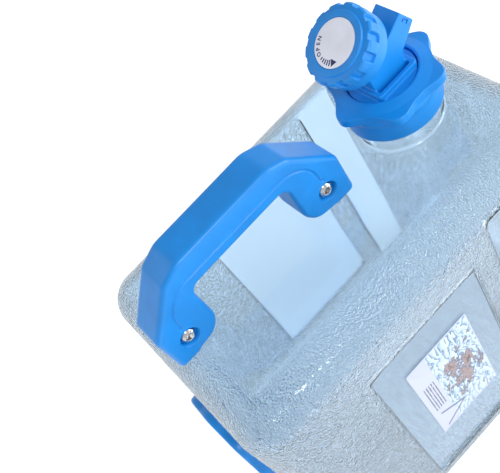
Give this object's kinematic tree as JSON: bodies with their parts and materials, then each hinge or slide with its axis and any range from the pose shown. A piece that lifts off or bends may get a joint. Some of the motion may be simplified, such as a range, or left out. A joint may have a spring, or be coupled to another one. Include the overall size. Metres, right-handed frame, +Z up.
{
  "type": "large water jug",
  "caption": "Clear rectangular water jug with a bolted bridge handle, a wide screw lid on one end and a screw-on valve tap on top.",
  "frame": {"origin": "middle of the jug's flat underside, as it stands with the handle and tap on top", "axes": "+Z up through the handle side, +X towards the tap end, so the fill lid faces -X and the label faces -Y"},
  "size_m": [0.2865, 0.18, 0.3343],
  "materials": {
    "clear_shell": "clear blue-tinted plastic, pebbled on the sides and smooth on top",
    "blue_plastic": "satin moulded plastic",
    "steel": "stainless, bright",
    "seal_rubber": "soft silicone",
    "label_paper": "printed film",
    "disc_white": "printed plastic disc",
    "plunger_plastic": "natural moulded plastic"
  },
  "bodies": {
    "jug": {"jug_body": "clear_shell", "handle": "blue_plastic", "handle_bolt_1": "steel", "handle_bolt_2": "steel", "handle_washer_1": "steel", "handle_washer_2": "steel", "handle_nut_1": "steel", "handle_nut_2": "steel", "label_sticker": "label_paper"},
    "lid": {"fill_lid": "blue_plastic", "fill_lid_gasket": "seal_rubber"},
    "tap": {"tap_body": "blue_plastic", "tap_gasket": "seal_rubber", "knob_retaining_ring": "steel"},
    "collar": {"tap_collar": "blue_plastic"},
    "knob": {"knob": "blue_plastic", "knob_disc": "disc_white"},
    "plunger": {"valve_plunger": "plunger_plastic", "plunger_ring_seal": "seal_rubber", "plunger_seat_seal": "seal_rubber", "seal_screw": "steel"}
  },
  "joints": [
    {"name": "lid_off", "type": "slide", "parent": "jug", "child": "lid", "axis": [-1, 0, 0], "range_m": [0, 0.05]},
    {"name": "tap_off", "type": "slide", "parent": "jug", "child": "tap", "axis": [0, 0, 1], "range_m": [0, 0.05]},
    {"name": "collar_turn", "type": "hinge", "parent": "tap", "child": "collar", "pos_m": [0.08, 0, 0.27], "axis": [0, 0, 1], "continuous": true},
    {"name": "knob_turn", "type": "hinge", "parent": "tap", "child": "knob", "pos_m": [0.08, 0, 0.293], "axis": [-0.5, 0, 0.866], "range_deg": [0, 180]},
    {"name": "plunger_lift", "type": "slide", "parent": "tap", "child": "plunger", "axis": [-0.5, 0, 0.866], "range_m": [0, 0.004]}
  ],
  "couplings": [
    {"joint": "plunger_lift", "follows": "knob_turn", "m_per_rad": 0.0012732}
  ]
}
